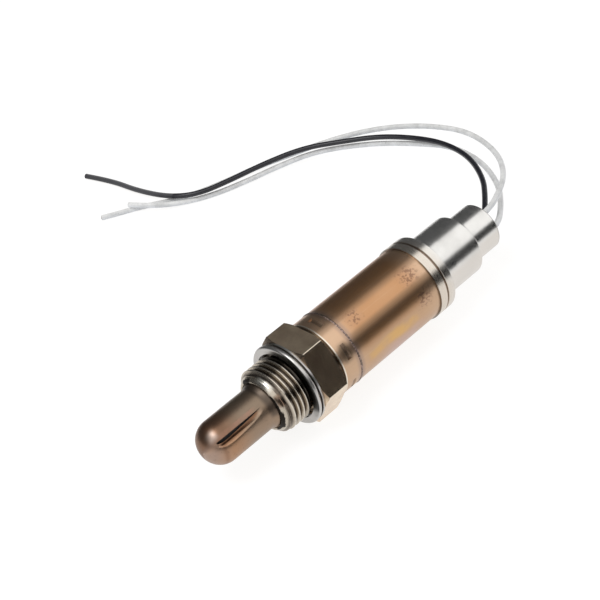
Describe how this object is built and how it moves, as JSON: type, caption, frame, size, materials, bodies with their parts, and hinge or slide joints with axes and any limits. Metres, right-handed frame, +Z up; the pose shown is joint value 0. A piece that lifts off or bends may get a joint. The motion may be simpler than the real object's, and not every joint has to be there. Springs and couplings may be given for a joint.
{
  "type": "oxygen sensor",
  "caption": "Heated exhaust oxygen sensor with a louvred probe tube, threaded hexagon shell, folded gasket, staked sleeve, stepped rear cap and loose leads with bare ends.",
  "frame": {"origin": "on the sensor's axis, in the plane where the folded gasket seals, at the end of the thread", "axes": "+X along the sensor from its probe tip to its leads, +Z up with the sensor lying on its side and a hexagon flat on top, leads curling off to +Y"},
  "size_m": [0.1406, 0.1509, 0.023],
  "materials": {
    "shell_steel": "turned steel, dull plating, dark and brown in places",
    "gasket_steel": "dull zinc-grey sheet",
    "tube_steel": "satin stainless sheet, heat-tinted brown",
    "inner_steel": "plain spring and ring steel",
    "zirconia": "opaque off-white zirconia ceramic",
    "talc": "pressed grey-white powder",
    "alumina": "opaque white alumina ceramic",
    "steatite": "opaque cream ceramic",
    "contact_nickel": "plain nickel sheet",
    "sleeve_steel": "satin stainless tube, heat-tinted bronze, gold and purple",
    "cap_steel": "bright drawn stainless sheet",
    "grommet_rubber": "matt black moulded rubber",
    "black_insulation": "smooth black wire insulation",
    "white_insulation": "smooth white wire insulation",
    "copper_strands": "dull copper strands, cut square"
  },
  "bodies": {
    "root": {"threaded_shell": "shell_steel", "sealing_gasket": "gasket_steel", "protective_tube": "tube_steel", "sensing_thimble": "zirconia", "seal_ring": "gasket_steel", "talc_packing": "talc", "press_ring": "inner_steel", "signal_contact": "contact_nickel", "heater_rod": "alumina", "ceramic_holder": "steatite", "heater_terminal_a": "contact_nickel", "heater_terminal_b": "contact_nickel", "signal_terminal": "contact_nickel", "disc_spring": "inner_steel", "protective_sleeve": "sleeve_steel", "rear_cap": "cap_steel", "cable_grommet": "grommet_rubber", "lead_black": "black_insulation", "lead_white_outer": "white_insulation", "lead_white_inner": "white_insulation", "core_black": "copper_strands", "core_white_outer": "copper_strands", "core_white_inner": "copper_strands"}
  },
  "joints": []
}
